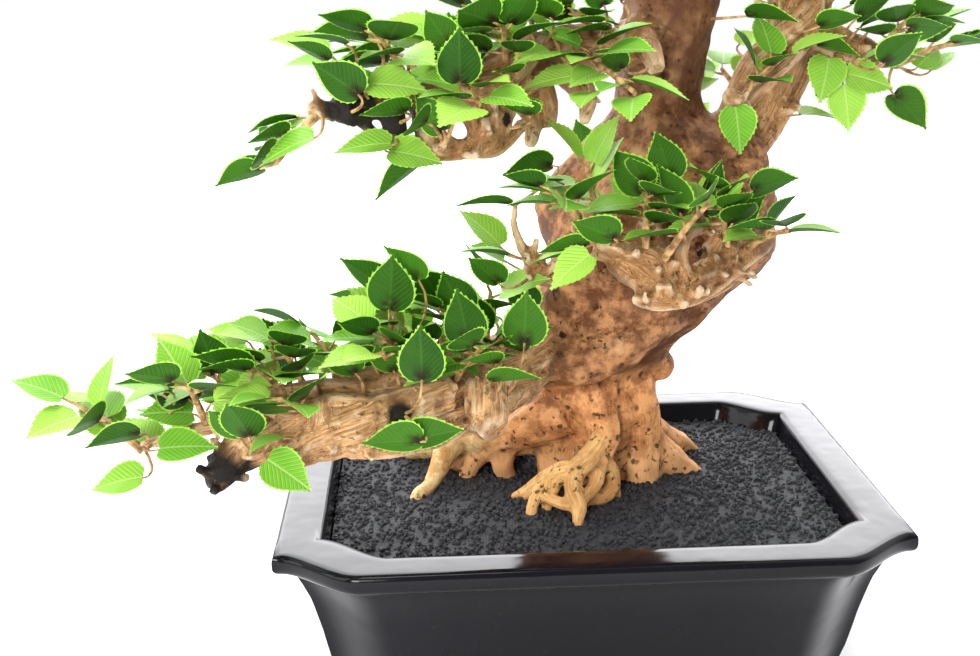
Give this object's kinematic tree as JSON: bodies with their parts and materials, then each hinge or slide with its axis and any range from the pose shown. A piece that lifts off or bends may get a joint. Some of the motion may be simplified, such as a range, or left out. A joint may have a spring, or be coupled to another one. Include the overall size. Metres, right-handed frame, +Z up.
{
  "type": "potted bonsai tree",
  "caption": "Informal upright elm bonsai with a burled trunk, pads of serrated leaves and spread surface roots, planted in a flared rectangular glazed pot with indented corners.",
  "frame": {"origin": "on the ground, under the centre of the pot", "axes": "+Z up, -Y the front that the tree is viewed from, +X along the pot's long side to the viewer's right"},
  "size_m": [0.4453, 0.2825, 0.427],
  "materials": {
    "pot_glaze": "gloss",
    "screen_plastic": "matte",
    "soil_grit": "matte",
    "wood": "satin",
    "foliage": "satin"
  },
  "bodies": {
    "root": {"pot": "pot_glaze", "drain_screen_left": "screen_plastic", "drain_screen_right": "screen_plastic", "soil": "soil_grit", "tree_wood": "wood", "spray_low_left_01": "foliage", "spray_low_left_02": "foliage", "spray_low_left_03": "foliage", "spray_low_left_04": "foliage", "spray_low_left_05": "foliage", "spray_low_left_06": "foliage", "spray_low_left_07": "foliage", "spray_low_left_08": "foliage", "spray_low_left_09": "foliage", "spray_low_left_10": "foliage", "spray_low_left_11": "foliage", "spray_low_left_12": "foliage", "spray_low_left_13": "foliage", "spray_low_left_14": "foliage", "spray_low_left_15": "foliage", "spray_middle_01": "foliage", "spray_middle_02": "foliage", "spray_middle_03": "foliage", "spray_middle_04": "foliage", "spray_middle_05": "foliage", "spray_middle_06": "foliage", "spray_middle_07": "foliage", "spray_up_left_01": "foliage", "spray_up_left_02": "foliage", "spray_up_left_03": "foliage", "spray_up_left_04": "foliage", "spray_up_left_05": "foliage", "spray_up_left_06": "foliage", "spray_up_left_07": "foliage", "spray_up_left_08": "foliage", "spray_up_left_09": "foliage", "spray_right_01": "foliage", "spray_right_02": "foliage", "spray_right_03": "foliage", "spray_right_04": "foliage", "spray_right_05": "foliage", "spray_right_06": "foliage", "spray_right_high_01": "foliage", "spray_right_high_02": "foliage", "spray_right_high_03": "foliage", "spray_back_01": "foliage", "spray_back_02": "foliage", "spray_back_03": "foliage", "spray_crown_left_01": "foliage", "spray_crown_left_02": "foliage", "spray_crown_left_03": "foliage", "spray_crown_back_01": "foliage", "spray_crown_back_02": "foliage", "spray_crown_back_03": "foliage", "spray_apex_01": "foliage", "spray_apex_02": "foliage", "spray_apex_03": "foliage", "spray_apex_04": "foliage", "spray_apex_05": "foliage"}
  },
  "joints": []
}
